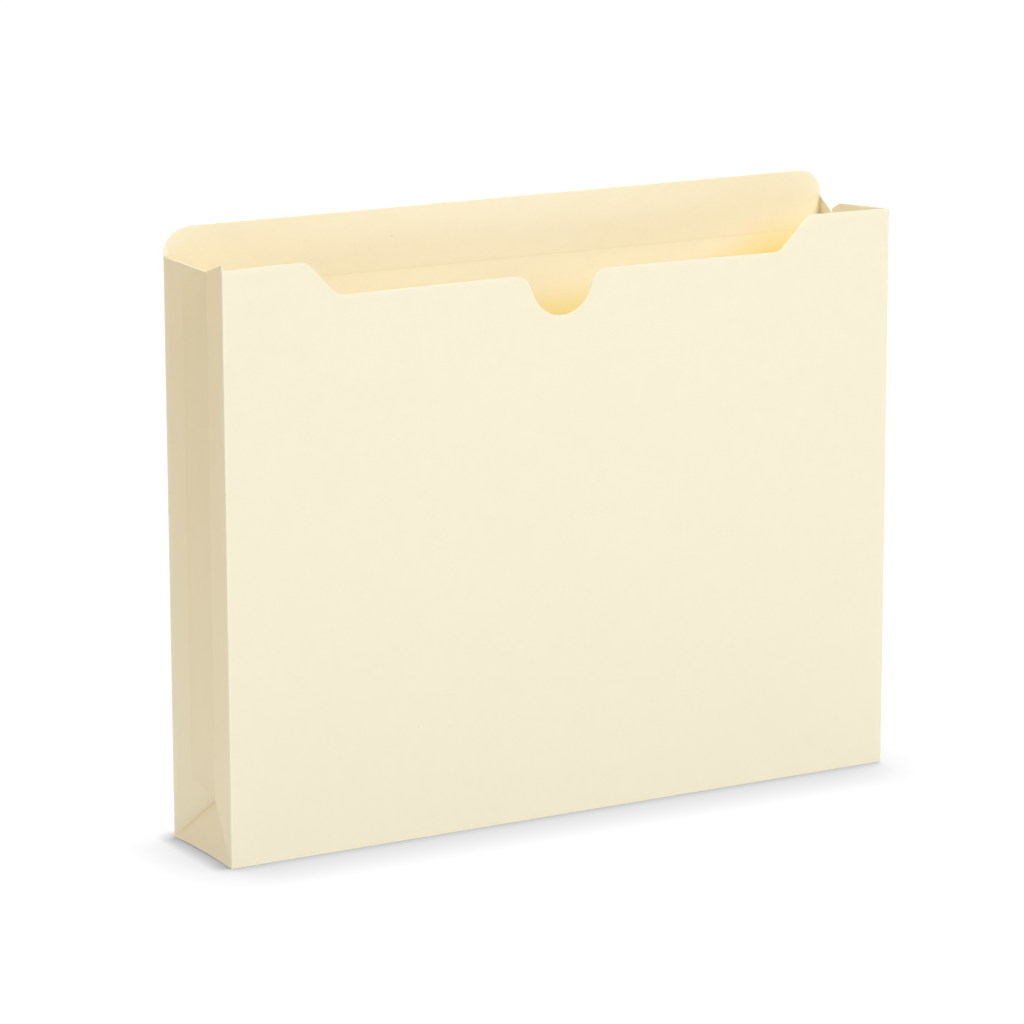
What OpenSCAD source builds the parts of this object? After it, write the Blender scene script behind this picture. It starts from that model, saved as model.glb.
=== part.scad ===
// Expanding file jacket: one scored manila blank, folded and glued into an open-topped pocket.
// Front, back, side gussets and bottom gusset are flat sheets that turn on their score folds.
// Millimetres, +Z up. The origin is under the middle of the pocket, on the surface it stands on.
// The front panel faces -Y and the back panel, with its tab, faces +Y.

/* [Stock] */
// Thickness of the manila sheet
stock_t = 0.3; // [0.2:0.05:0.5]
// Thickness of the glue film between two plies
glue_t = 0.05; // [0.03:0.01:0.1]
// Radius of the bead that a score raises along its fold
score_r = 0.3; // [0.2:0.05:0.5]
// Clearance between a score bead and the sheet that turns on it
score_gap = 0.2; // [0.1:0.05:0.4]
// Margin between a glue film and the edges of the ply it holds
glue_margin = 2; // [1:0.5:4]

/* [Back panel] */
// Width of the jacket across its side folds
jacket_w = 298.5; // [220:0.5:420]
// Height of the back panel to the top of its tab
back_h = 240.3; // [160:0.1:330]
// Rise of the tab above the gussets' rear shoulders
tab_h = 11.1; // [6:0.1:25]
// Radius of the tab's top corners
tab_r = 10.5; // [4:0.5:20]
// Height of the ply folded over inside the tab
ply_h = 24.4; // [16:0.1:60]
// Distance of the ply's ends from the side folds
ply_inset = 10; // [9:0.5:40]

/* [Front panel] */
// Depth of the front ears below the top of the tab
ear_below = 9.6; // [4:0.1:30]
// Drop of the front edge between its ears
front_drop = 14; // [8:0.5:30]
// Distance of the middle of each step from its side fold
ear_w = 43.5; // [25:0.5:80]
// Slope of the steps between the ears and the lowered edge
step_a = 45; // [30:1:60]
// Radius of the rounded corners of the steps
step_r = 6; // [2:0.5:8]
// Radius of the thumb notch
notch_r = 14; // [8:0.5:25]
// Depth of the thumb notch below the lowered edge
notch_d = 17; // [12:0.5:35]
// Radius of the rounded mouth of the thumb notch
notch_mouth_r = 6; // [2:0.5:10]

/* [Gussets] */
// Distance between a gusset's panel fold and its middle fold
leaf_l = 25.4; // [16:0.1:50]
// Distance that the middle folds are pushed in when the jacket stands open
crease_in = 5.5; // [3:0.1:10]
// Width of the flap that carries the front leaf past the middle fold
flap_w = 14; // [8:0.5:15]
// Radius of the flap's top corner
flap_r = 12; // [4:0.5:14]
// Height of the flap's lower end above the corner web's point
flap_gap = 2; // [1:0.5:40]
// Rise of the flap's lower end from the middle fold to its rear edge
flap_rise = 4; // [0:0.5:10]
// Fall of the left rear leaf's top edge from the back fold to the middle fold
left_rear_fall = 2.4; // [0:0.1:12]
// Fall of the right rear leaf's top edge from the back fold to the middle fold
right_rear_fall = 8; // [0:0.1:12]
// Rise of the left front leaf's top corner above the front ear
left_tooth = 2.4; // [0:0.1:6]
// Fall of the left front leaf's top edge below the ear at the middle fold
left_front_fall = 3.8; // [0:0.1:10]
// Fall of the right front leaf's top edge below the ear at the middle fold
right_front_fall = 1; // [0:0.1:10]

/* [Bottom corners] */
// Height of the corner web's point on the middle fold
web_h = 20; // [10:0.5:21]
// Height of the corner web's base above the surface that the jacket stands on
web_floor = 0.2; // [0.15:0.05:0.5]
// Clearance between a side leaf's lower edge and the line of the corner web
leaf_gap = 0.3; // [0.2:0.1:0.6]
// Distance of a bottom leaf's mitred ends from the line of the corner tuck
mitre_gap = 1; // [0.8:0.1:2]

/* [Hidden] */
$fn = 48;
arc_steps = 12;
manila = [0.95, 0.92, 0.80];
manila_shade = [0.90, 0.86, 0.72];
manila_fold = [0.97, 0.95, 0.86];
dried_glue = [0.93, 0.90, 0.78];

// Heights that follow the back panel
shoulder_h = back_h - tab_h;
ear_h = back_h - ear_below;
lowered_h = ear_h - front_drop;

// Fold lines: panel folds lie on the inner faces, middle folds on the outer faces
rest_a = asin(crease_in / leaf_l);
axis_x = jacket_w / 2 - stock_t;
axis_y = leaf_l * cos(rest_a);
axis_z = max(stock_t, score_r);
leaf_start = score_r + score_gap;

// A sheet's own slope passes its fold lines by the plies between its inner face and the middle fold
rear_plies = 2 * stock_t + glue_t;
rear_skew = asin(rear_plies / leaf_l);
single_skew = asin(stock_t / leaf_l);
rear_a = rest_a + rear_skew;
single_a = rest_a + single_skew;
rear_crease = leaf_l * cos(rear_skew);
single_crease = leaf_l * cos(single_skew);

// Heights of the side leaves' tops as [at the panel fold, at the middle fold]
left_rear_tops = [shoulder_h, shoulder_h - left_rear_fall];
right_rear_tops = [shoulder_h, shoulder_h - right_rear_fall];
left_front_tops = [ear_h + left_tooth, ear_h - left_front_fall];
right_front_tops = [ear_h, ear_h - right_front_fall];
flap_low = web_h + flap_gap;

// Reach of a corner tuck along the bottom, square to the web's slope so that leaves never lap
tuck_l = leaf_l * leaf_l / web_h;

// Points of a round stretch about centre c, from angle a0 to angle a1
function arc(c, r, a0, a1) =
    [for (i = [0:arc_steps]) let (a = a0 + (a1 - a0) * i / arc_steps) c + r * [cos(a), sin(a)]];

// Height on a straight edge that runs from ends[0] at the panel fold to ends[1] at the middle fold
function edge_z(ends, w) = ends[0] + (ends[1] - ends[0]) * w / leaf_l;

// Right half of a symmetric outline, followed by the mirror image of all that lies off the middle line
function both_halves(half) =
    concat(half, [for (i = [len(half) - 1:-1:0]) if (half[i].x > 0) [-half[i].x, half[i].y]]);

// Back panel with the tab's rounded top corners
function back_half() =
    concat([[jacket_w / 2, 0]], arc([jacket_w / 2 - tab_r, back_h - tab_r], tab_r, 0, 90));

// Front panel: ear, sloped step, lowered edge, rounded mouth and half of the thumb notch
function front_half() =
    let (run = front_drop / tan(step_a) / 2)
    let (ease = step_r * tan(step_a / 2))
    let (ear_c = [jacket_w / 2 - ear_w + run + ease, ear_h - step_r])
    let (foot_c = [jacket_w / 2 - ear_w - run - ease, lowered_h + step_r])
    let (notch_c = [0, lowered_h - notch_d + notch_r])
    let (mouth_z = lowered_h - notch_mouth_r)
    let (mouth_x = sqrt(pow(notch_r + notch_mouth_r, 2) - pow(mouth_z - notch_c.y, 2)))
    let (meet_a = atan2(mouth_z - notch_c.y, mouth_x))
    concat(
        [[jacket_w / 2, 0], [jacket_w / 2, ear_h]],
        arc(ear_c, step_r, 90, 90 + step_a),
        arc(foot_c, step_r, step_a - 90, -90),
        arc([mouth_x, mouth_z], notch_mouth_r, 90, 180 + meet_a),
        arc(notch_c, notch_r, meet_a, -90)
    );

// A flat sheet stood up along X, its outline in X and Z, from face_y back to face_y + t
module upright(outline, face_y, t) {
    translate([0, face_y + t, 0]) rotate([90, 0, 0]) linear_extrude(t) polygon(outline);
}

// Frame of a left rear leaf: X along the leaf from the back fold, Y up, Z outwards from its inner face
module on_side_leaf(a) {
    translate([-axis_x, axis_y, 0]) rotate([90, 0, a - 90]) children();
}

// Frame of the rear bottom leaf: X along the fold, Y along the leaf, Z downwards from its inner face
module on_bottom_leaf() {
    translate([0, axis_y, axis_z]) rotate([180 - single_a, 0, 0]) children();
}

// Side leaf between the panel fold and the middle fold, its foot along the line of the corner web
module side_leaf(a, crease_w, end_gap, tops) {
    feet = [leaf_gap, web_h + leaf_gap];
    last = crease_w - end_gap;
    on_side_leaf(a) linear_extrude(stock_t) polygon([
        [leaf_start, edge_z(feet, leaf_start)],
        [last, edge_z(feet, last)],
        [last, edge_z(tops, last)],
        [leaf_start, edge_z(tops, leaf_start)]
    ]);
}

module rear_leaf(tops) {
    color(manila_shade) side_leaf(rear_a, rear_crease, score_r, tops);
}

module front_leaf(tops) {
    color(manila_shade) mirror([0, 1, 0]) side_leaf(single_a, single_crease, leaf_start, tops);
}

// Flap that runs on past the middle fold, outside the rear leaf, with a round top corner
module glue_flap(crease_top) {
    first = rear_crease - flap_w;
    last = rear_crease - score_r;
    color(manila_shade) on_side_leaf(rear_a) translate([0, 0, stock_t + glue_t]) linear_extrude(stock_t)
        polygon(concat(
            [[first, flap_low + flap_rise], [last, flap_low], [last, crease_top]],
            arc([first + flap_r, crease_top - flap_r], flap_r, 90, 180)
        ));
}

// Glue film between the flap and the rear leaf
module seam_glue(rear_tops, crease_top) {
    foot = flap_low + flap_rise + glue_margin;
    head = min(rear_tops[1], crease_top - flap_r) - glue_margin;
    color(dried_glue) on_side_leaf(rear_a)
        translate([rear_crease - flap_w + glue_margin, foot, stock_t])
            cube([flap_w - 2 * glue_margin, head - foot, glue_t]);
}

// Round bead along the side gusset's middle fold
module side_mid_score(crease_top) {
    foot = web_h + leaf_gap;
    color(manila_fold) translate([-axis_x + crease_in, 0, foot]) cylinder(r = score_r, h = crease_top - foot);
}

// Half-round bead on the back panel's inner face along a side fold
module back_side_score(h) {
    color(manila_fold) difference() {
        translate([-axis_x, axis_y, 0]) cylinder(r = score_r, h = h);
        translate([-axis_x - score_r, axis_y, 0]) cube([2 * score_r, score_r, h]);
    }
}

// Half-round bead on the back panel's inner face along the bottom fold
module back_foot_score() {
    len = jacket_w - 2 * mitre_gap;
    color(manila_fold) difference() {
        translate([-len / 2, axis_y, axis_z]) rotate([0, 90, 0]) cylinder(r = score_r, h = len);
        translate([-len / 2, axis_y, axis_z - score_r]) cube([len, score_r, 2 * score_r]);
    }
}

// Bottom leaf with its ends mitred along the corner tucks
module bottom_leaf(end_gap) {
    last = single_crease - end_gap;
    root_x = jacket_w / 2 - mitre_gap - leaf_start * tuck_l / leaf_l;
    tip_x = jacket_w / 2 - mitre_gap - last * tuck_l / leaf_l;
    on_bottom_leaf() linear_extrude(stock_t)
        polygon([[-root_x, leaf_start], [root_x, leaf_start], [tip_x, last], [-tip_x, last]]);
}

// Three-cornered web across the foot of the left gusset, leaning in to the middle fold
module corner_web() {
    rise = web_h - web_floor;
    lean = atan((crease_in + stock_t) / rise);
    share = (axis_y - leaf_start) / axis_y;
    reach = share * rise / cos(lean);
    color(manila_shade) translate([-jacket_w / 2, 0, web_floor]) rotate([0, lean, 0]) rotate([90, 0, 90])
        linear_extrude(stock_t)
            polygon([[-axis_y * share, 0], [axis_y * share, 0], [0, reach]]);
}

// Three-cornered tuck of the bottom gusset between the web's base and the mitred leaves
module corner_tuck() {
    first = 2 * stock_t + score_gap;
    half = axis_y - leaf_start;
    slope = atan(crease_in / tuck_l);
    reach = (tuck_l - leaf_start - first) / cos(slope);
    color(manila_shade) translate([-jacket_w / 2 + first, 0, axis_z]) rotate([0, -slope, 0])
        linear_extrude(stock_t) polygon([[0, -half], [reach, 0], [0, half]]);
}

module back_panel() {
    color(manila) upright(both_halves(back_half()), axis_y, stock_t);
}

// Inner ply of the tab, with the roll of the fold over the panel's top edge
module tab_ply() {
    roll_r = glue_t / 2 + stock_t;
    len = jacket_w - 2 * max(ply_inset, tab_r);
    color(manila) {
        intersection() {
            upright(both_halves(back_half()), axis_y - glue_t - stock_t, stock_t);
            translate([-jacket_w / 2 + ply_inset, axis_y - rear_plies, back_h - ply_h])
                cube([jacket_w - 2 * ply_inset, rear_plies, ply_h]);
        }
        intersection() {
            translate([-len / 2, axis_y - glue_t / 2, back_h]) rotate([0, 90, 0])
                cylinder(r = roll_r, h = len);
            translate([-len / 2, axis_y - rear_plies, back_h]) cube([len, 2 * rear_plies, roll_r]);
        }
    }
}

module tab_glue() {
    inset = max(ply_inset, tab_r) + glue_margin;
    color(dried_glue) translate([-jacket_w / 2 + inset, axis_y - glue_t, back_h - ply_h + glue_margin])
        cube([jacket_w - 2 * inset, glue_t, ply_h - 2 * glue_margin]);
}

module back_left_score() {
    back_side_score(shoulder_h);
}

module back_right_score() {
    mirror([1, 0, 0]) back_side_score(shoulder_h);
}

module back_bottom_score() {
    back_foot_score();
}

module left_rear_leaf() {
    rear_leaf(left_rear_tops);
}

module left_seam_glue() {
    seam_glue(left_rear_tops, left_front_tops[1]);
}

module left_glue_flap() {
    glue_flap(left_front_tops[1]);
}

module left_mid_score() {
    side_mid_score(left_front_tops[1]);
}

module left_front_leaf() {
    front_leaf(left_front_tops);
}

module right_rear_leaf() {
    mirror([1, 0, 0]) rear_leaf(right_rear_tops);
}

module right_seam_glue() {
    mirror([1, 0, 0]) seam_glue(right_rear_tops, right_front_tops[1]);
}

module right_glue_flap() {
    mirror([1, 0, 0]) glue_flap(right_front_tops[1]);
}

module right_mid_score() {
    mirror([1, 0, 0]) side_mid_score(right_front_tops[1]);
}

module right_front_leaf() {
    mirror([1, 0, 0]) front_leaf(right_front_tops);
}

module bottom_rear_leaf() {
    color(manila_shade) bottom_leaf(score_r);
}

module bottom_mid_score() {
    len = jacket_w - 2 * (mitre_gap + tuck_l);
    color(manila_fold) translate([-len / 2, 0, axis_z + crease_in]) rotate([0, 90, 0])
        cylinder(r = score_r, h = len);
}

module bottom_front_leaf() {
    color(manila_shade) mirror([0, 1, 0]) bottom_leaf(leaf_start);
}

module front_panel() {
    color(manila) upright(both_halves(front_half()), -axis_y - stock_t, stock_t);
}

module front_left_score() {
    mirror([0, 1, 0]) back_side_score(ear_h);
}

module front_right_score() {
    mirror([1, 0, 0]) front_left_score();
}

module front_bottom_score() {
    mirror([0, 1, 0]) back_foot_score();
}

module left_corner_web() {
    corner_web();
}

module right_corner_web() {
    mirror([1, 0, 0]) corner_web();
}

module left_corner_tuck() {
    corner_tuck();
}

module right_corner_tuck() {
    mirror([1, 0, 0]) corner_tuck();
}

back_panel();
tab_ply();
tab_glue();
back_left_score();
back_right_score();
back_bottom_score();
left_rear_leaf();
left_seam_glue();
left_glue_flap();
left_mid_score();
left_front_leaf();
right_rear_leaf();
right_seam_glue();
right_glue_flap();
right_mid_score();
right_front_leaf();
bottom_rear_leaf();
bottom_mid_score();
bottom_front_leaf();
front_panel();
front_left_score();
front_right_score();
front_bottom_score();
left_corner_web();
right_corner_web();
left_corner_tuck();
right_corner_tuck();
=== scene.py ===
import math

import bmesh
import bpy
import numpy as np
from mathutils import Matrix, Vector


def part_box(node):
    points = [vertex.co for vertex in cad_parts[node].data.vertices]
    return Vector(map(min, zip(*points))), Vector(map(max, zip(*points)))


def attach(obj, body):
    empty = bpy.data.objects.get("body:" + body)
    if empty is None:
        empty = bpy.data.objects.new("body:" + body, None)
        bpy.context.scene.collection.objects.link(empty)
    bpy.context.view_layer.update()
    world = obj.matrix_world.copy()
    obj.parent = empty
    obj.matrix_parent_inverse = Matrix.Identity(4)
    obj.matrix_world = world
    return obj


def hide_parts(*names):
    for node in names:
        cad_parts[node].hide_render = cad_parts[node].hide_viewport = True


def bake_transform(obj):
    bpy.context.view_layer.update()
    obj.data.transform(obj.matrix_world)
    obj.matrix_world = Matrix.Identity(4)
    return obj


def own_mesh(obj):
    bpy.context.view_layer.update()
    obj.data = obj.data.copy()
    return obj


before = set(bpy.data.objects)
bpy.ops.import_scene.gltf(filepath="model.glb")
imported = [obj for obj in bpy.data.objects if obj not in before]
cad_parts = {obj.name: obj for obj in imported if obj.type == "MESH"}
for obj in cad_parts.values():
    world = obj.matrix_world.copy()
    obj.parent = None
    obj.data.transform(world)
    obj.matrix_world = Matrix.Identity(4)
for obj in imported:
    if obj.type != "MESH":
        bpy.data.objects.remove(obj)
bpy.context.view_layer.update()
scene = bpy.context.scene
scene.view_settings.view_transform = "Standard"

# Camera
# It stands in front of the jacket, left of its middle and a little above it, with a long lens.
# Its place, turn and focal length were fitted to the jacket's corners in a frame of 1024 pixels.
camera_place = np.array([-0.89846, -1.55176, 0.52346])
yaw, pitch, roll = 0.51936, 0.22244, -0.00259
focal_px = 4642.17
frame_px = 1024
ahead = np.array([math.sin(yaw) * math.cos(pitch), math.cos(yaw) * math.cos(pitch), -math.sin(pitch)])
level = np.array([math.cos(yaw), -math.sin(yaw), 0.0])
over = np.cross(level, ahead)
turned = np.eye(4)
turned[:3, 0] = level * math.cos(roll) + over * math.sin(roll)
turned[:3, 1] = over * math.cos(roll) - level * math.sin(roll)
turned[:3, 2] = -ahead
turned[:3, 3] = camera_place
lens = bpy.data.cameras.new("camera")
lens.sensor_width = 36.0
lens.lens = focal_px / frame_px * lens.sensor_width
lens.clip_end = 100
camera = bpy.data.objects.new("camera", lens)
camera.matrix_world = Matrix(turned.tolist())
scene.collection.objects.link(camera)
scene.camera = camera

# Back panel with its tab
# The tallest sheet of the jacket: manila stock about 0.3 mm thick, die-cut with two round top corners.
# It stands on the bottom fold, and the side gussets turn on its left and right folds up to the shoulders.
mm = 0.001
stock_t = 0.3 * mm
half_w = 149.25 * mm
fold_x = half_w - stock_t
fold_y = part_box("back_panel")[0].y
fold_z = 0.3 * mm
back_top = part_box("back_panel")[1].z
shoulder_z = 229.2 * mm
tab_r = 10.5 * mm
manila_colour = (0.850, 0.793, 0.608)
# Painted light and shade inside the pocket: the inner colour is the stock painted lighter and warmer, as if
# lit by light bounced inside the pocket and shining through the stock; the deep colour is a painted golden
# shade.
painted_inner_light_colour = (0.965, 0.885, 0.670)
painted_deep_shade_colour = (0.895, 0.710, 0.200)
# Pale colour of real wear at folds and cut edges, also used for painted light on the gussets, webs and front
# panel
worn_and_painted_light_colour = (0.940, 0.895, 0.725)
# Painted shade in valleys, crevices and along edges
painted_shade_colour = (0.700, 0.500, 0.200)
fleck_colour = (0.60, 0.45, 0.26)
cut_colour = (0.935, 0.893, 0.735)
stock_gloss = 0.25


def add_node(tree, kind, inputs=(), **settings):
    """A shader node with its settings, and its inputs set to values or linked from other nodes' sockets."""
    new = tree.nodes.new(kind)
    for key, value in settings.items():
        setattr(new, key, value)
    for key, value in dict(inputs).items():
        if isinstance(value, bpy.types.NodeSocket):
            tree.links.new(value, new.inputs[key])
        else:
            new.inputs[key].default_value = value
    return new


def maths(tree, operation, *values, **settings):
    """The result of a Math node: the operation on the values, which are numbers or other nodes' sockets."""
    inputs = dict(enumerate(values))
    return add_node(tree, "ShaderNodeMath", inputs, operation=operation, **settings).outputs[0]


def mixed(tree, share, start, end):
    """A colour that goes over from start to end as the share rises from 0 to 1."""
    return add_node(tree, "ShaderNodeMix", {0: share, 6: start, 7: end}, data_type="RGBA").outputs[2]


def effect_group(name, inputs, outputs):
    """A shader node group with sockets given by name and kind, and what its own input node hands in."""
    group = bpy.data.node_groups.new(name, "ShaderNodeTree")
    for in_out, sockets in (("INPUT", inputs), ("OUTPUT", outputs)):
        for socket, kind in sockets.items():
            group.interface.new_socket(socket, in_out=in_out, socket_type="NodeSocket" + kind)
    return group, add_node(group, "NodeGroupInput").outputs


# Grain of the stock as a node group: cloudy formation a few millimetres across, fibres drawn out along
# the sheet's width, and sparse short flecks. Shade multiplies a colour, Fleck and Height are masks.
cloud_scale = 190.0
fibre_scale = 2600.0
fibre_draw = (0.35, 1.0, 1.0)
fleck_scale = 170.0
fleck_least = 0.90
fleck_core = 0.012
fleck_rim = 0.045
cloud_lift = 0.4
grain_height = 0.02 * mm
stock_grain, given = effect_group(
    "stock_grain",
    {"Cloud": "Float", "Fibre": "Float", "Fleck": "Float"},
    {"Shade": "Float", "Fleck": "Float", "Height": "Float"},
)
here = add_node(stock_grain, "ShaderNodeTexCoord").outputs["Object"]
drawn = add_node(stock_grain, "ShaderNodeMapping", {"Vector": here, "Scale": fibre_draw}).outputs[0]
cloudy = {"Vector": here, "Scale": cloud_scale, "Detail": 3.0}
cloud = add_node(stock_grain, "ShaderNodeTexNoise", cloudy).outputs[0]
fibrous = {"Vector": drawn, "Scale": fibre_scale, "Detail": 2.0}
fibre = add_node(stock_grain, "ShaderNodeTexNoise", fibrous).outputs[0]
cell = add_node(stock_grain, "ShaderNodeTexVoronoi", {"Vector": drawn, "Scale": fleck_scale}).outputs
chance = add_node(stock_grain, "ShaderNodeSeparateColor", {"Color": cell["Color"]}).outputs["Red"]
rare = maths(stock_grain, "GREATER_THAN", chance, fleck_least)
fade = {"From Min": fleck_core, "From Max": fleck_rim, "To Min": 1.0, "To Max": 0.0}
near = add_node(stock_grain, "ShaderNodeMapRange", {"Value": cell["Distance"], **fade}).outputs[0]
speck = maths(stock_grain, "MULTIPLY", maths(stock_grain, "MULTIPLY", rare, near), given["Fleck"])
cloud_off = maths(stock_grain, "SUBTRACT", cloud, 0.5)
fibre_off = maths(stock_grain, "SUBTRACT", fibre, 0.5)
shade = maths(stock_grain, "MULTIPLY_ADD", cloud_off, given["Cloud"], 1.0)
shade = maths(stock_grain, "MULTIPLY_ADD", fibre_off, given["Fibre"], shade)
height = maths(stock_grain, "MULTIPLY_ADD", cloud, cloud_lift, fibre)
add_node(stock_grain, "NodeGroupOutput", {"Shade": shade, "Fleck": speck, "Height": height})

# Wear and painted light of the stock as a node group: a colour goes over to the pale worn one with the
# piece's wear_and_painted_light attribute, which is real wear at folds and cut edges and painted light
# elsewhere, and which also smooths the surface; then it goes over to the painted shade colour with the
# painted_shade attribute.
worn_smoother = 0.1
stock_wear_and_painted_light, given = effect_group(
    "stock_wear_and_painted_light",
    {"Color": "Color", "Roughness": "Float"},
    {"Color": "Color", "Roughness": "Float"},
)
rubbed_and_lit = add_node(stock_wear_and_painted_light, "ShaderNodeAttribute", attribute_name="wear_and_painted_light").outputs["Fac"]
painted_shading = add_node(stock_wear_and_painted_light, "ShaderNodeAttribute", attribute_name="painted_shade").outputs["Fac"]
worn_lit_and_shaded = mixed(stock_wear_and_painted_light, rubbed_and_lit, given["Color"], (*worn_and_painted_light_colour, 1.0))
worn_lit_and_shaded = mixed(stock_wear_and_painted_light, painted_shading, worn_lit_and_shaded, (*painted_shade_colour, 1.0))
rough = maths(stock_wear_and_painted_light, "MULTIPLY_ADD", rubbed_and_lit, -worn_smoother, given["Roughness"])
add_node(stock_wear_and_painted_light, "NodeGroupOutput", {"Color": worn_lit_and_shaded, "Roughness": rough})

# Painted light inside the pocket: the inside attribute starts at its value for the mouth, where the
# stock is painted lighter and warmer as if lit by light bounced inside the pocket, and rises to 1, a painted
# golden shade, below a height that lies higher near the pocket's ends.
mouth_inside = 0.3
deep_z = 208 * mm
deep_over = 26 * mm
end_rise = 18 * mm
end_from = 75 * mm
end_over = 55 * mm


def stock_material(name, colour, cloud, fibre, fleck, roughness, bump):
    """Manila stock. Its colour goes over to the painted inner light colour and then to the painted deep shade
    colour with the piece's own inside attribute, times the grain's shade, and is mixed to the fleck colour by
    the fleck mask. The group for wear and painted light then changes this colour, with real wear, painted
    light and painted shade, and the roughness, and the grain's height lifts the surface."""
    made = bpy.data.materials.new(name)
    made.use_nodes = True
    tree = made.node_tree
    surface = tree.nodes["Principled BSDF"]
    own = {"Cloud": cloud, "Fibre": fibre, "Fleck": fleck}
    grain = add_node(tree, "ShaderNodeGroup", own, node_tree=stock_grain).outputs
    inside = add_node(tree, "ShaderNodeAttribute", attribute_name="inside").outputs["Fac"]
    depth = add_node(tree, "ShaderNodeValToRGB", {"Fac": inside})
    depth.color_ramp.elements[0].color = (*colour, 1.0)
    depth.color_ramp.elements[1].color = (*painted_deep_shade_colour, 1.0)
    depth.color_ramp.elements.new(mouth_inside).color = (*painted_inner_light_colour, 1.0)
    shaded = {0: depth.outputs["Color"], 1: grain["Shade"]}
    tone = add_node(tree, "ShaderNodeVectorMath", shaded, operation="MULTIPLY").outputs[0]
    tone = mixed(tree, grain["Fleck"], tone, (*fleck_colour, 1.0))
    used = add_node(tree, "ShaderNodeGroup", {"Color": tone, "Roughness": roughness}, node_tree=stock_wear_and_painted_light)
    raised = {"Height": grain["Height"], "Strength": bump, "Distance": grain_height}
    lift = add_node(tree, "ShaderNodeBump", raised).outputs[0]
    tree.links.new(used.outputs["Color"], surface.inputs["Base Color"])
    tree.links.new(used.outputs["Roughness"], surface.inputs["Roughness"])
    tree.links.new(lift, surface.inputs["Normal"])
    surface.inputs["Specular IOR Level"].default_value = stock_gloss
    return made


manila = stock_material(
    "manila_stock", manila_colour, cloud=0.03, fibre=0.05, fleck=0.45, roughness=0.72, bump=0.5)
cut_edge = stock_material(
    "manila_cut_edge", cut_colour, cloud=0.05, fibre=0.16, fleck=0.2, roughness=0.85, bump=0.9)


def smooth(x):
    """Rises from 0 to 1 between x = 0 and x = 1, level at both ends: three x squared less two x cubed."""
    x = np.clip(x, 0.0, 1.0)
    return x * x * (3.0 - 2.0 * x)


def fading(distance, reach):
    """1 at no distance, and e times less for each reach: e to the power of minus distance over reach."""
    return np.exp(-distance / reach)


weld_gap = 0.0005 * mm
sheet_sharp = math.radians(35)


def sheet_piece(name, inner, outer, wear_and_painted_light, stock=manila, painted_shade=0.0):
    """A sheet of stock as one closed shell. inner and outer are grids of points, one for each face; quads
    join neighbours on each face, and a strip of quads round the border, the cut edge, joins the two faces.
    wear_and_painted_light is a grid from 0 to 1: real wear at folds and edges, and painted light elsewhere.
    inside is 0 on the outer face, and on the inner one it rises smoothly from the mouth's value to 1
    in the depth of the pocket, as painted light and then painted shade. painted_shade darkens the stock as
    painted
    shade in its valleys and along edges: one number, or a grid for the inner face and one for the outer.
    Where the signed volume, a sixth of the triangles' triple products, is below zero, all faces turn round.
    Points that fall together, as at a triangle's tip, become one."""
    rows, cols = inner.shape[:2]
    count = rows * cols
    points = np.concatenate([inner.reshape(count, 3), outer.reshape(count, 3)])
    number = np.arange(count).reshape(rows, cols)
    face = np.stack([number[:-1, :-1], number[1:, :-1], number[1:, 1:], number[:-1, 1:]], -1).reshape(-1, 4)
    ring = np.concatenate([number[:-1, 0], number[-1, :-1], number[:0:-1, -1], number[0, :0:-1]])
    after = np.roll(ring, -1)
    rim = np.stack([after, ring, ring + count, after + count], -1)
    quads = np.concatenate([face, face[:, ::-1] + count, rim])
    a, b, c = points[np.concatenate([quads[:, :3], quads[:, [0, 2, 3]]])].transpose(1, 0, 2)
    if np.sum(a * np.cross(b, c)) < 0:
        quads = quads[:, ::-1]
    mesh = bpy.data.meshes.new(name)
    mesh.from_pydata(points.tolist(), [], quads.tolist())
    mesh.polygons.foreach_set("material_index", np.repeat([0, 1], [2 * len(face), len(rim)]))
    # Share of painted pocket light and shade: 0 on the outer face; on the inner face the mouth's value,
    # rising to 1, the painted deep shade, below a height that is higher near the pocket's ends.
    deep_from = deep_z + end_rise * smooth((np.abs(points[:, 0]) - end_from) / end_over)
    depth = mouth_inside + (1 - mouth_inside) * smooth((deep_from - points[:, 2]) / deep_over)
    inside = np.repeat([1.0, 0.0], count) * depth
    painted_shade = np.broadcast_to(painted_shade, (2, rows, cols)).ravel()
    mesh.attributes.new("wear_and_painted_light", "FLOAT", "POINT").data.foreach_set("value", np.tile(wear_and_painted_light.ravel(), 2))
    mesh.attributes.new("inside", "FLOAT", "POINT").data.foreach_set("value", inside)
    mesh.attributes.new("painted_shade", "FLOAT", "POINT").data.foreach_set("value", painted_shade)
    joined = bmesh.new()
    joined.from_mesh(mesh)
    bmesh.ops.remove_doubles(joined, verts=joined.verts, dist=weld_gap)
    joined.to_mesh(mesh)
    joined.free()
    mesh.shade_smooth()
    mesh.set_sharp_from_angle(angle=sheet_sharp)
    mesh.materials.append(stock)
    mesh.materials.append(cut_edge)
    piece = bpy.data.objects.new(name, mesh)
    scene.collection.objects.link(piece)
    return piece


def panel_heights(tops, low, shelf, low_rows, top_rows):
    """Heights of a sheet's rows. They lie level from low to shelf, and above it each column shares out
    evenly what is left up to its own top, so that the last row follows the cut edge."""
    level_rows = np.linspace(low, shelf, low_rows)[:, None] + 0.0 * tops
    return np.concatenate([level_rows, shelf + (tops - shelf) * np.linspace(0, 1, top_rows)[1:, None]])


def mirrored(right_half):
    """Distances from the middle on both sides, from left to right, with one at the middle."""
    return np.concatenate([-right_half[:0:-1], right_half])


fold_wear = 0.3
fold_wear_reach = 0.8 * mm
tab_wear = 0.2
tab_wear_reach = 0.6 * mm
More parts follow.
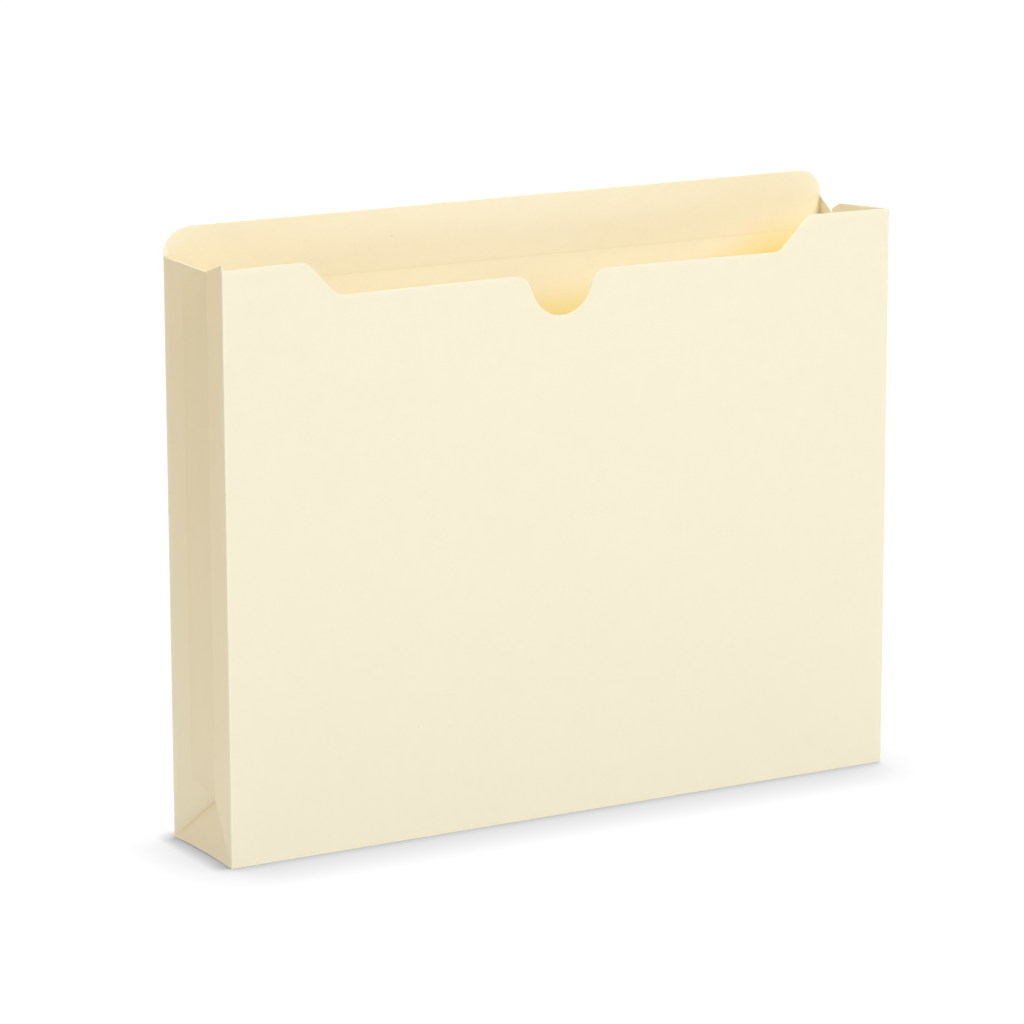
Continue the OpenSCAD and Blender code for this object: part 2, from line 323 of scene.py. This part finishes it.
# Painted shade in the crevice along the back panel's side folds, on its inner face
back_valley_shade = 0.6
back_valley_reach = 1.2 * mm
shoulder_ease = 1 * mm
widening = 0.5 * mm
corner_turn = np.radians(np.linspace(90, 0, 25))
flat_part = np.linspace(0, half_w - tab_r, 40)
back_x = mirrored(np.concatenate([flat_part, half_w - tab_r + tab_r * np.cos(corner_turn[1:])]))
back_tops = mirrored(np.concatenate([0 * flat_part, tab_r * (1 - np.sin(corner_turn[1:]))]))
back_tops = back_top - np.abs(back_tops)
back_z = panel_heights(back_tops, fold_z, shoulder_z - shoulder_ease, low_rows=60, top_rows=16)
back_gx = back_x * (1 - stock_t / half_w * (1 - smooth((back_z - shoulder_z) / widening)))
back_inner = np.stack([back_gx, np.full_like(back_z, fold_y), back_z], -1)
back_outer = back_inner + (0, stock_t, 0)
to_side = half_w - np.abs(back_gx)
back_wear = fold_wear * fading(to_side, fold_wear_reach)
back_wear = back_wear + tab_wear * fading(back_tops - back_z, tab_wear_reach)
# Painted shade along the side folds inside, fading out above the shoulders
back_painted_shade = back_valley_shade * fading(to_side, back_valley_reach)
back_painted_shade = back_painted_shade * smooth((shoulder_z - back_z) / shoulder_ease + 1)
back_painted_shade = np.stack([back_painted_shade, 0 * back_z])
back_wear = np.clip(back_wear, 0, 1)
back_panel = sheet_piece("back_panel_sheet", back_inner, back_outer, back_wear, painted_shade=back_painted_shade)
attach(back_panel, "back")
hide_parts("back_panel")

# Inner ply of the tab
# The blank runs on past the tab's top, is folded over it and glued down inside the back panel.
# Its round corners are cut with the panel's, and its ends stand in below the shoulders, clear of the folds.
# It thins out towards its lower edge and its ends, so that only a fine line shows across the inside. A little
# painted shade darkens the whole ply, and a painted shade line runs along its lower edge.
glue_t = 0.05 * mm
ply_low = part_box("tab_ply")[0].z
ply_inset = 4 * mm
ply_inset_over = 6 * mm
ply_slant = 0.2
ply_thin = 0.2
ply_low_over = 14 * mm
ply_end_over = 9 * mm
# Painted shade: a little over the whole ply, and a line of it along the ply's lower edge
ply_shade = 0.03
ply_shade_line = 0.12
ply_line_reach = 0.4 * mm
ply_z = panel_heights(back_tops, ply_low, shoulder_z - 0.2 * mm, low_rows=40, top_rows=18)
ply_in = ply_inset * (1 - smooth((ply_z - shoulder_z) / ply_inset_over))
ply_in = ply_in + ply_slant * np.clip(shoulder_z - ply_z, 0, None)
ply_x = back_x * (1 - ply_in / half_w)
ply_end = np.max(ply_x, axis=1)[:, None] - np.abs(ply_x)
ply_full = np.clip((ply_z - ply_low) / ply_low_over, 0, 1) * np.clip(ply_end / ply_end_over, 0, 1)
ply_share = ply_thin + (1 - ply_thin) * ply_full
ply_near = fold_y - glue_t * ply_share
ply_face = ply_near - stock_t * ply_share
ply_inner = np.stack([ply_x, ply_face, ply_z], -1)
ply_outer = np.stack([ply_x, ply_near, ply_z], -1)
ply_painted_shade = np.stack([ply_shade + ply_shade_line * fading(ply_z - ply_low, ply_line_reach), 0 * ply_z])
tab_ply = sheet_piece("tab_ply_sheet", ply_inner, ply_outer, 0 * ply_z, painted_shade=ply_painted_shade)
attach(tab_ply, "back")
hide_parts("tab_ply")
roll_half = half_w - tab_r
roll_y = fold_y - glue_t / 2
roll_turn = np.radians(np.linspace(180, 0, 17))[:, None]
roll_wear = 0.15


def tab_roll(radius):
    """One face of the fold over the tab's top: half a circle of the radius along the straight part."""
    x, y = np.broadcast_arrays(np.linspace(-roll_half, roll_half, 61), roll_y + radius * np.cos(roll_turn))
    return np.stack([x, y, back_top + radius * np.sin(roll_turn) + 0 * x], -1)


roll_outer = tab_roll(glue_t / 2 + stock_t)
tab_fold = sheet_piece("tab_fold_sheet", tab_roll(glue_t / 2), roll_outer, 0 * roll_outer[..., 0] + roll_wear)
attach(tab_fold, "back")

# Dried glue films
# Thin clear-drying glue between the plies: under the tab's ply and under the flaps of both side gussets.
# The CAD films stay as they are, between the sheets, with a material of their own.
glue_colour = (0.84, 0.78, 0.58)
dried_glue = stock_material(
    "dried_glue", glue_colour, cloud=0.12, fibre=0.06, fleck=0.1, roughness=0.45, bump=0.3)
for film in ("tab_glue", "left_seam_glue", "right_seam_glue"):
    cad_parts[film].data.materials.clear()
    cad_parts[film].data.materials.append(dried_glue)

# Score beads of the back panel
# A score is pressed into the stock before it is folded; the sheet bends there round a small bead of crushed
# fibre. Three run along the back panel: left and right, up to the shoulders, and along the bottom.
bead_r = 0.3 * mm
bead_sides = 16
bead_steps = 40
bead_sharp = math.radians(50)
bead_colour = (0.850, 0.790, 0.605)
scored = stock_material(
    "manila_score", bead_colour, cloud=0.05, fibre=0.12, fleck=0.2, roughness=0.75, bump=0.8)


def score_bead(name, start, end):
    """A round bead along a fold: circles of the bead's radius carried from start to end in even steps,
    closed by a flat cap at each end. The circle lies in the two directions square to the line."""
    start, end = np.array(start), np.array(end)
    along = (end - start) / np.linalg.norm(end - start)
    first = np.roll(along, 1)
    second = np.cross(along, first)
    turn = np.linspace(0, 2 * math.pi, bead_sides + 1)[:-1, None]
    circle = bead_r * (np.cos(turn) * first + np.sin(turn) * second)
    points = start + np.linspace(0, 1, bead_steps + 1)[:, None, None] * (end - start) + circle
    number = np.arange((bead_steps + 1) * bead_sides).reshape(-1, bead_sides)
    beside = np.roll(number, -1, axis=1)
    quads = np.stack([number[:-1], beside[:-1], beside[1:], number[1:]], -1).reshape(-1, 4)
    caps = [number[0, ::-1].tolist(), number[-1].tolist()]
    mesh = bpy.data.meshes.new(name)
    mesh.from_pydata(points.reshape(-1, 3).tolist(), [], quads.tolist() + caps)
    mesh.shade_smooth()
    mesh.set_sharp_from_angle(angle=bead_sharp)
    mesh.materials.append(scored)
    piece = bpy.data.objects.new(name, mesh)
    scene.collection.objects.link(piece)
    return piece


for name, start, end in (
    ("back_left_score", (-fold_x, fold_y, 0), (-fold_x, fold_y, shoulder_z)),
    ("back_right_score", (fold_x, fold_y, 0), (fold_x, fold_y, shoulder_z)),
    ("back_bottom_score", (-fold_x, fold_y, fold_z), (fold_x, fold_y, fold_z)),
):
    bead = score_bead(name + "_bead", start, end)
    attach(bead, "back")
    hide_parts(name)

# Side gussets
# Each side is one pleat. The rear leaf is folded off the back panel. The front leaf is folded off the front
# panel, bends at the middle fold and runs on as a flap, which is glued outside the rear leaf.
leaf_l = 25.4 * mm
crease_in = 5.5 * mm
# Painted warm light: the gussets' stock is painted warmer than the panels', as if lit by light from inside
# the pocket shining through it
painted_gusset_glow_colour = (0.865, 0.730, 0.470)
gusset_stock_painted_glow = stock_material(
    "manila_gusset_painted_glow", painted_gusset_glow_colour, cloud=0.03, fibre=0.05, fleck=0.45, roughness=0.72, bump=0.5)
rest_turn = math.asin(crease_in / leaf_l)
rear_plies = 2 * stock_t + glue_t
rear_turn = rest_turn + math.asin(rear_plies / leaf_l)
front_turn = rest_turn + math.asin(stock_t / leaf_l)
flap_w = 14 * mm
flap_low = 22 * mm
flap_rise = 4 * mm
web_foot = 0.2 * mm
web_top = 20.2 * mm
bend_w = 1.2 * mm
# Painted light: the whole rear leaf a little lighter
painted_rear_light = 0.06
# Painted light: the gussets lighter towards their foot
painted_foot_light = 0.38
# Painted shade in the rear leaf's valleys: along the back fold inside, and at its foot outside
rear_valley_shade = 0.8
foot_valley_shade = 0.3
valley_reach = 1.5 * mm
# Painted shade along the flap's rim on its outer face, fading out near the middle fold
flap_edge_shade = 0.1
flap_edge_shade_reach = 2 * mm
flap_edge_shade_from = 6 * mm
leaf_rows = np.concatenate([[0, 0.004, 0.012], np.linspace(0.03, 0.97, 40), [0.988, 0.996, 1]])[:, None]
leaf_w = np.concatenate([[0, 0.3, 0.8, 1.6], np.linspace(3, 24, 22), [24.6, 25.05]]) * mm
flap_end = -flap_w * np.cos(np.radians(np.linspace(0, 60, 19)))
flap_s = np.concatenate([flap_end, np.linspace(-6.5, -1.7, 12) * mm])
bend_s = np.linspace(-1.3, 1.3, 21) * mm
front_s = np.concatenate([np.linspace(1.7, 23, 23), [23.8, 24.6, 25.1, 25.39]]) * mm
sheet_s = np.concatenate([flap_s, bend_s, front_s])


def rear_top_left(w):
    """Top of the left rear leaf: level at the back fold, easing down 2.3 mm to the middle fold."""
    return shoulder_z - 2.3 * mm * smooth(w / leaf_l)


def rear_top_right(w):
    """Top of the right rear leaf: straight down by 8 mm from the back fold to the middle fold."""
    return shoulder_z - 8 * mm * w / leaf_l


def round_fall(d, start, radius):
    """Fall of a quarter circle of the radius that begins at distance start: the radius less the other side
    of a right triangle on the radius and the distance past start."""
    return radius - np.sqrt(np.clip(radius ** 2 - np.clip(d - start, 0, None) ** 2, 0, None))


def flap_fall_left(d):
    """Fall of the left flap's top at distance d behind the middle fold: a quarter circle of 12 mm."""
    return round_fall(d, 2 * mm, 12 * mm)


def flap_fall_right(d):
    """Fall of the right flap's top: it steepens as distance to the power 1.4, and ends in a round corner."""
    return 0.129 * mm * (d / mm) ** 1.4 + round_fall(d, 11 * mm, 3 * mm)


def gusset_point(sign, x, y, z):
    """Points of a gusset, given as distance in from the side fold, y and z, on the side that sign names."""
    return np.stack(np.broadcast_arrays(sign * (fold_x - x), y, z), -1)


for side, sign, rear_top, flap_fall, crease_top, fold_top in (
    ("left", -1, rear_top_left, flap_fall_left, 226.9 * mm, 233.6 * mm),
    ("right", 1, rear_top_right, flap_fall_right, 229.7 * mm, 230.6 * mm),
):
    # Rear leaf: a flat sheet that leans in from the back fold, its foot along the corner web's slope
    foot = web_foot + (web_top - web_foot) * leaf_w / leaf_l
    leaf_z = foot + (rear_top(leaf_w) - foot) * leaf_rows
    leaf_x = leaf_w * math.sin(rear_turn)
    leaf_y = fold_y - leaf_w * math.cos(rear_turn)
    out_x = leaf_x - stock_t * math.cos(rear_turn)
    out_y = leaf_y - stock_t * math.sin(rear_turn)
    inner = gusset_point(sign, leaf_x, leaf_y, leaf_z)
    outer = gusset_point(sign, out_x, out_y, leaf_z)
    # Real wear at the back fold, plus painted light: the whole leaf a little lighter, and lighter still
    # towards its foot
    wear_and_painted_light = fold_wear * fading(leaf_w, fold_wear_reach) + painted_rear_light + painted_foot_light * (1 - leaf_z / shoulder_z)
    # Painted shade in the valleys: along the back fold on the inner face, and at the foot on the outer face
    valley_shade = foot_valley_shade * fading(leaf_z - foot, valley_reach)
    painted_shade = np.stack([rear_valley_shade * fading(leaf_w, valley_reach) + 0 * leaf_z, valley_shade])
    rear_leaf = sheet_piece(side + "_rear_leaf_sheet", inner, outer, wear_and_painted_light, gusset_stock_painted_glow, painted_shade)
    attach(rear_leaf, side + "_rear")
    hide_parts(side + "_rear_leaf")

    # Front leaf and flap: one sheet whose heading turns smoothly through the middle fold
    bend = smooth(sheet_s / (2 * bend_w) + 0.5)
    heading = rear_turn - (rear_turn + front_turn) * bend
    step = np.diff(sheet_s, prepend=sheet_s[0])
    middle = 0.5 * (heading + np.concatenate([heading[:1], heading[:-1]]))
    run_x = np.cumsum(step * np.sin(middle))
    run_y = np.cumsum(step * np.cos(middle))
    run_x = run_x - run_x[-1] + crease_in - sheet_s[-1] * math.sin(front_turn)
    run_y = run_y[-1] - run_y - sheet_s[-1] * math.cos(front_turn)
    behind = np.clip(-sheet_s, 0, None)
    beyond = np.clip(sheet_s, 0, None)
    low = np.where(
        sheet_s < -0.5 * mm,
        flap_low + flap_rise * behind / flap_w,
        web_foot + (web_top - web_foot) * (1 - beyond / leaf_l),
    )
    top = crease_top + (fold_top - crease_top) * beyond / leaf_l - flap_fall(behind)
    sheet_z = low + (top - low) * leaf_rows
    in_x = run_x + stock_t * np.cos(heading)
    in_y = run_y + stock_t * np.sin(heading)
    outer = gusset_point(sign, run_x, run_y, sheet_z)
    inner = gusset_point(sign, in_x, in_y, sheet_z)
    # Real wear at the front fold, plus painted light that is lighter towards the foot
    wear_and_painted_light = fold_wear * fading(leaf_l - sheet_s, fold_wear_reach) + painted_foot_light * (1 - sheet_z / shoulder_z)
    # Painted shade along the flap's rim, its edges and its round top, away from the middle fold
    flap_rim = np.minimum(sheet_s + flap_w, np.minimum(top - sheet_z, sheet_z - low))
    flap_shade = flap_edge_shade * fading(flap_rim, flap_edge_shade_reach) * smooth(behind / flap_edge_shade_from)
    painted_shade = np.stack([0 * flap_shade, flap_shade])
    front_leaf = sheet_piece(side + "_front_leaf_sheet", inner, outer, wear_and_painted_light, gusset_stock_painted_glow, painted_shade)
    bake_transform(front_leaf)
    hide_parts(side + "_front_leaf", side + "_glue_flap", side + "_mid_score")

# Bottom gusset
# The bottom is the same kind of pleat, pushed up at its middle fold: one sheet from the back panel's bottom
# fold to the front panel's, with its four ends mitred beside the corner tucks.
mitre_gap = 1 * mm
tuck_l = 32.26 * mm
mid_wear = 0.4
mid_wear_reach = 0.5 * mm
half_s = np.concatenate([np.linspace(0, 1.3, 11), np.linspace(1.8, 24.4, 24), [25, 25.39]]) * mm
bottom_s = mirrored(half_s)
bottom_turn = front_turn * (1 - 2 * smooth(bottom_s / (2 * bend_w) + 0.5))
bottom_step = np.diff(bottom_s, prepend=bottom_s[0])
bottom_mid = 0.5 * (bottom_turn + np.concatenate([bottom_turn[:1], bottom_turn[:-1]]))
bottom_y = np.cumsum(-bottom_step * np.cos(bottom_mid))
bottom_z = np.cumsum(bottom_step * np.sin(bottom_mid))
bottom_y = bottom_y - np.interp(0, bottom_s, bottom_y)
bottom_z = fold_z + crease_in + bottom_z - bottom_s[-1] * math.sin(front_turn)
bottom_half = half_w - mitre_gap - (leaf_l - np.abs(bottom_s)) * tuck_l / leaf_l
bottom_x = bottom_half[:, None] * np.linspace(-1, 1, 61)
bottom_outer = np.stack(np.broadcast_arrays(bottom_x, bottom_y[:, None], bottom_z[:, None]), -1)
bottom_up = np.stack([0 * bottom_turn, np.sin(bottom_turn), np.cos(bottom_turn)], -1)
bottom_inner = bottom_outer + stock_t * bottom_up[:, None, :]
bottom_wear = mid_wear * fading(np.abs(bottom_s), mid_wear_reach)[:, None] + 0 * bottom_x
bottom = sheet_piece("bottom_gusset_sheet", bottom_inner, bottom_outer, bottom_wear)
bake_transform(bottom)
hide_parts("bottom_rear_leaf", "bottom_front_leaf", "bottom_mid_score")

# Front panel
# The lower sheet of the pocket: two ears at the sides, sloped steps down to a lowered edge, and a half-round
# thumb notch. The open sheet bows inwards at the top.
# Its cut edge is half a millimetre higher at the left than at the right.
ear_z = 230.7 * mm
edge_z = 216.7 * mm
notch_mid = 213.7 * mm
notch_r = 13.7 * mm
mouth_r = 7.5 * mm
step_r = 6 * mm
bow = 6 * mm
bow_rise = 1.5
left_rise = 0.5 * mm
front_shelf = 192 * mm
front_fold_wear = 0.15
# Painted light: the front panel lighter towards its foot
painted_front_foot_light = 0.3
front_edge_wear = 0.2
front_edge_reach = 0.4 * mm
ear_mid = np.array([115.235 * mm, ear_z - step_r])
foot_mid = np.array([96.265 * mm, edge_z + step_r])
mouth_drop = edge_z - mouth_r - notch_mid
mouth_mid = np.array([math.sqrt((notch_r + mouth_r) ** 2 - mouth_drop ** 2), edge_z - mouth_r])
meet = math.degrees(math.atan2(mouth_drop, mouth_mid[0]))


def arc(middle, radius, start, end, count):
    """Points of a circle about middle, at even angles from start to end in degrees."""
    turn = np.radians(np.linspace(start, end, count))[:, None]
    return middle + radius * np.concatenate([np.cos(turn), np.sin(turn)], -1)


edge = np.concatenate([
    arc((0, notch_mid), notch_r, -90, meet, 33)[:-1],
    arc(mouth_mid, mouth_r, 180 + meet, 90, 17),
    arc(foot_mid, step_r, -90, -45, 11),
    arc(ear_mid, step_r, 135, 90, 11),
    [(fold_x, ear_z)],
])
fill = np.concatenate([
    np.linspace(22, 94, 19),
    np.linspace(101.5, 110, 9),
    np.linspace(117.5, 145, 12),
    [146.4, 147.5, 148.2, 148.6],
]) * mm
front_half = np.unique(np.round(np.concatenate([edge[:, 0], fill]), 8))
front_x = mirrored(front_half)
front_tops = np.interp(np.abs(front_x), edge[:, 0], edge[:, 1]) + left_rise * (1 - front_x / fold_x) / 2
front_z = panel_heights(front_tops, fold_z, front_shelf, low_rows=48, top_rows=14)
front_gx = front_x + 0 * front_z
front_bow = bow * (1 - (front_gx / fold_x) ** 2) * (front_z / ear_z) ** bow_rise
front_inner = np.stack([front_gx, front_bow - fold_y, front_z], -1)
front_outer = front_inner - (0, stock_t, 0)
front_wear_and_light = front_fold_wear * fading(fold_x - np.abs(front_gx), fold_wear_reach)
# Painted light: lighter towards the foot
front_wear_and_light = front_wear_and_light + painted_front_foot_light * (1 - front_z / ear_z)
front_wear_and_light = front_wear_and_light + front_edge_wear * fading(front_tops - front_z, front_edge_reach)
front = sheet_piece("front_panel_sheet", front_inner, front_outer, np.clip(front_wear_and_light, 0, 1))
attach(front, "front")
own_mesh(front)
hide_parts("front_panel")
for name, start, end in (
    ("front_left_score", (-fold_x, -fold_y, 0), (-fold_x, -fold_y, ear_z + left_rise)),
    ("front_right_score", (fold_x, -fold_y, 0), (fold_x, -fold_y, ear_z)),
    ("front_bottom_score", (-fold_x, -fold_y, fold_z), (fold_x, -fold_y, fold_z)),
):
    bead = score_bead(name + "_bead", start, end)
    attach(bead, "front")
    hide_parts(name)

# Corner webs and tucks
# Where a side pleat and the bottom pleat meet, the stock is folded into a three-cornered web across the foot
# of the side and a tuck under the pocket.
web_arch = 0.7 * mm
# Painted light: the whole web a little lighter
painted_web_light = 0.2
web_foot_wear = 0.2
web_foot_power = 30
# Painted shade in the valley along the web's rear edge
web_valley_shade = 0.5
web_valley_reach = 0.9 * mm
web_slant = 0.63
web_valley_rise = 2.5
tuck_in = 0.8 * mm
web_rows = np.linspace(0, 1, 15)[:, None]
web_cols = np.linspace(-1, 1, 31)[None, :]


def corner_sheet(sign, base_x, base_z, tip_x, tip_z):
    """A triangle over the side's depth: from a base at base_x and base_z, straight to a tip in the middle
    at tip_x and tip_z, both x measured in from the side's outer face. The base is arched off the floor
    between its corners. The second face lies the stock's thickness further in along the normal."""
    x = base_x + (tip_x - base_x) * web_rows + 0 * web_cols
    y = fold_y * (1 - web_rows) * web_cols
    z = base_z + (tip_z - base_z) * web_rows + web_arch * (1 - web_cols ** 2) * (1 - web_rows)
    length = math.hypot(tip_x - base_x, tip_z - base_z)
    inward = np.array([(tip_z - base_z) / length, 0, (base_x - tip_x) / length]) * stock_t
    first = np.stack([sign * (half_w - x), y, z], -1)
    second = np.stack([sign * (half_w - x - inward[0]), y, z + inward[2]], -1)
    return first, second


for side, sign in (("left", -1), ("right", 1)):
    # Web: painted light over the whole of it, real wear along its base, and painted shade in the valley along
    # its rear edge, where the rear leaf leaves it
    outer, inner = corner_sheet(sign, 0.0, web_foot, crease_in + stock_t, web_top)
    wear_and_painted_light = painted_web_light + web_foot_wear * (1 - web_rows) ** web_foot_power + 0 * web_cols
    to_rear_edge = web_slant * fold_y * (1 - web_rows) * (1 - web_cols)
    valley_shade = web_valley_shade * fading(to_rear_edge, web_valley_reach) * smooth(web_valley_rise * web_rows)
    painted_shade = np.stack([0 * valley_shade, valley_shade])
    web = sheet_piece(side + "_corner_web_sheet", inner, outer, wear_and_painted_light, gusset_stock_painted_glow, painted_shade)
    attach(web, "back")
    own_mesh(web)
    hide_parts(side + "_corner_web")

    # Tuck: it rises under the pocket from just inside the web's base to the bottom's middle fold
    tuck_z = fold_z + stock_t
    inner, outer = corner_sheet(sign, tuck_in, tuck_z, tuck_l - stock_t, fold_z + crease_in + stock_t)
    tuck = sheet_piece(side + "_corner_tuck_sheet", inner, outer, 0 * web_rows + 0 * web_cols)
    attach(tuck, "back")
    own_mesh(tuck)
    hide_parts(side + "_corner_tuck")

# Floor
# A plain pale studio floor, on which the jacket stands and which throws light back at it. Seen directly it
# is white, and darkens where the jacket takes the light away: widely towards the front, and closely towards
# the left.
floor_size = 6.0
floor_colour = (0.75, 0.75, 0.75)
floor_white = 1.03
shadow_reach = 0.033
shadow_lean = (0.32, 0.46, 0.83)
shadow_depth = 0.45
contact_reach = 0.008
contact_lean = (0.70, -0.50, 0.51)
contact_depth = 0.85
corners = np.array([(-1, -1, 0), (1, -1, 0), (1, 1, 0), (-1, 1, 0)]) * floor_size
floor_mesh = bpy.data.meshes.new("floor")
floor_mesh.from_pydata(corners.tolist(), [], [(0, 1, 2, 3)])
floor = bpy.data.objects.new("floor", floor_mesh)
scene.collection.objects.link(floor)
pale = bpy.data.materials.new("studio_floor")
pale.use_nodes = True
pale.node_tree.nodes.clear()
tree = pale.node_tree


def seen_share(tree):
    """1 on rays that show a surface, also by way of a mirror or glass, and 0 on rays that only light it."""
    path = add_node(tree, "ShaderNodeLightPath").outputs
    seen = maths(tree, "ADD", path["Is Camera Ray"], path["Is Glossy Ray"])
    return maths(tree, "ADD", seen, path["Is Transmission Ray"], use_clamp=True)


def floor_shadow(reach, lean, white, depth):
    """Brightness beside the jacket: white less the depth times the share of rays that meet it. The rays are
    as long as the reach, and spread round the direction lean."""
    towards = add_node(tree, "ShaderNodeCombineXYZ", dict(enumerate(lean))).outputs[0]
    rays = {"Distance": reach, "Normal": towards}
    clear = add_node(tree, "ShaderNodeAmbientOcclusion", rays, samples=16).outputs["AO"]
    return maths(tree, "MULTIPLY_ADD", clear, depth, white - depth)


wide = floor_shadow(shadow_reach, shadow_lean, floor_white, shadow_depth)
close = floor_shadow(contact_reach, contact_lean, 1.0, contact_depth)
bright = maths(tree, "MULTIPLY", wide, close)
matt = add_node(tree, "ShaderNodeBsdfDiffuse", {"Color": (*floor_colour, 1.0)}).outputs[0]
white = add_node(tree, "ShaderNodeEmission", {"Color": (1, 1, 1, 1), "Strength": bright}).outputs[0]
shown = add_node(tree, "ShaderNodeMixShader", {0: seen_share(tree), 1: matt, 2: white}).outputs[0]
add_node(tree, "ShaderNodeOutputMaterial", {"Surface": shown})
floor_mesh.materials.append(pale)

# Studio light
# A large box high in front, one above and behind that lights the inside of the pocket, three for the left
# side, and one each for the right and the back. A little light comes from all round.
world_light = 0.02
light_aim = np.array([0.0, 0.0, 0.12])
world = bpy.data.worlds.new("studio")
scene.world = world
world.use_nodes = True
world.node_tree.nodes.clear()
tree = world.node_tree
around = add_node(tree, "ShaderNodeBackground", {"Color": (1, 1, 1, 1), "Strength": world_light}).outputs[0]
backdrop = add_node(tree, "ShaderNodeBackground", {"Color": (1, 1, 1, 1), "Strength": 1.0}).outputs[0]
shown = add_node(tree, "ShaderNodeMixShader", {0: seen_share(tree), 1: around, 2: backdrop}).outputs[0]
add_node(tree, "ShaderNodeOutputWorld", {"Surface": shown})


def soft_box(name, place, size, power):
    """A square area light at place, its power in watts: its axis is the line from the aim to its place."""
    lamp = bpy.data.lights.new(name, "AREA")
    lamp.size = size
    lamp.energy = power
    box = bpy.data.objects.new(name, lamp)
    away = np.array(place) - light_aim
    away = away / np.linalg.norm(away)
    right = np.cross((0.0, 0.0, 1.0), away)
    right = right / np.linalg.norm(right)
    turn = np.eye(4)
    turn[:3, 0] = right
    turn[:3, 1] = np.cross(away, right)
    turn[:3, 2] = away
    turn[:3, 3] = place
    box.matrix_world = Matrix(turn.tolist())
    scene.collection.objects.link(box)


soft_box("high_front_box", (0.25, -1.35, 1.7), size=1.4, power=39.5)
soft_box("rear_box", (0.0, 0.8, 1.5), size=0.9, power=14)
soft_box("left_front_box", (-1.6, -1.6, 1.0), size=1.4, power=8.9)
soft_box("left_box", (-2.2, 0.0, 0.9), size=1.4, power=7.9)
soft_box("left_rear_box", (-1.5, 1.5, 1.0), size=1.4, power=7.9)
soft_box("right_box", (2.2, 0.3, 0.9), size=1.4, power=12)
soft_box("back_box", (0.8, 2.0, 1.1), size=1.4, power=18)
